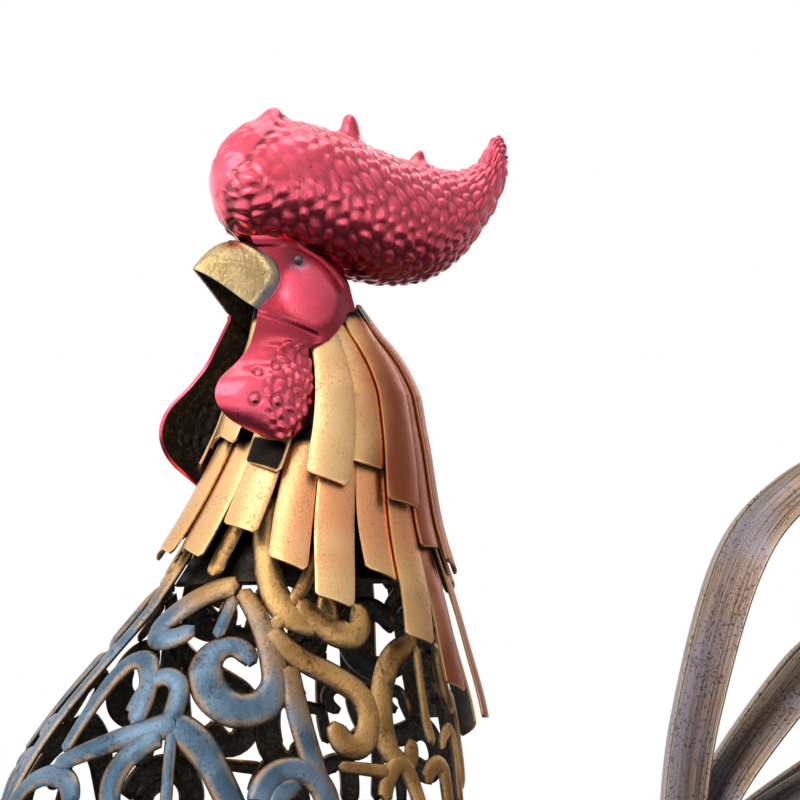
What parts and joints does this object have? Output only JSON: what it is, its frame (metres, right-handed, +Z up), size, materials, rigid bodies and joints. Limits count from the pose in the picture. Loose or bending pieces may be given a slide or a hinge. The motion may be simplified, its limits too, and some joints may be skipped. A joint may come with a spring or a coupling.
{
  "type": "metal rooster statue",
  "caption": "Standing sheet-metal rooster with openwork scroll body, strip hackle feathers, red comb and wattles, and arched ribbon tail on a low base plate.",
  "frame": {"origin": "middle of the base plate's underside, on the ground", "axes": "+Z up, -Y the way the rooster faces, +X its left side"},
  "size_m": [0.2078, 0.4029, 0.46],
  "materials": {
    "scrollwork": "blued steel paint with gold rims and black patina, satin",
    "sleeve": "blackened sheet, dull",
    "hackle_gold": "antique gold with black speckle, satin",
    "hackle_copper": "copper and gold paint with black speckle, satin",
    "comb_red": "candy red lacquer over hammered sheet, glossy",
    "face_red": "candy red lacquer over dimpled sheet, glossy",
    "beak_gold": "antique gold, satin",
    "tail_bronze": "bronze brown with a lilac sheen, satin",
    "leg_gold": "antique gold with black patina, satin",
    "base_bronze": "dark bronze paint, dull"
  },
  "bodies": {
    "root": {"scrollwork_body": "scrollwork", "neck_sleeve": "sleeve", "lower_hackle_middle_01": "hackle_gold", "lower_hackle_middle_10": "hackle_gold", "lower_hackle_left_02": "hackle_gold", "lower_hackle_left_03": "hackle_gold", "lower_hackle_left_04": "hackle_gold", "lower_hackle_left_05": "hackle_gold", "lower_hackle_left_06": "hackle_gold", "lower_hackle_left_07": "hackle_gold", "lower_hackle_left_08": "hackle_gold", "lower_hackle_left_09": "hackle_gold", "lower_hackle_right_02": "hackle_gold", "lower_hackle_right_03": "hackle_gold", "lower_hackle_right_04": "hackle_gold", "lower_hackle_right_05": "hackle_gold", "lower_hackle_right_06": "hackle_gold", "lower_hackle_right_07": "hackle_gold", "lower_hackle_right_08": "hackle_gold", "lower_hackle_right_09": "hackle_gold", "upper_hackle_left_01": "hackle_copper", "upper_hackle_left_02": "hackle_copper", "upper_hackle_left_03": "hackle_copper", "upper_hackle_left_04": "hackle_copper", "upper_hackle_left_05": "hackle_copper", "upper_hackle_left_06": "hackle_copper", "upper_hackle_left_07": "hackle_copper", "upper_hackle_left_08": "hackle_copper", "upper_hackle_right_01": "hackle_copper", "upper_hackle_right_02": "hackle_copper", "upper_hackle_right_03": "hackle_copper", "upper_hackle_right_04": "hackle_copper", "upper_hackle_right_05": "hackle_copper", "upper_hackle_right_06": "hackle_copper", "upper_hackle_right_07": "hackle_copper", "upper_hackle_right_08": "hackle_copper", "comb": "comb_red", "face_and_wattle_left": "face_red", "face_and_wattle_right": "face_red", "beak": "beak_gold", "tail_ribbon_left_1": "tail_bronze", "tail_ribbon_left_2": "tail_bronze", "tail_ribbon_left_3": "tail_bronze", "tail_ribbon_left_4": "tail_bronze", "tail_ribbon_right_1": "tail_bronze", "tail_ribbon_right_2": "tail_bronze", "tail_ribbon_right_3": "tail_bronze", "tail_ribbon_right_4": "tail_bronze", "thigh_left": "leg_gold", "thigh_right": "leg_gold", "shank_and_foot_left": "leg_gold", "shank_and_foot_right": "leg_gold", "base_plate": "base_bronze"}
  },
  "joints": []
}
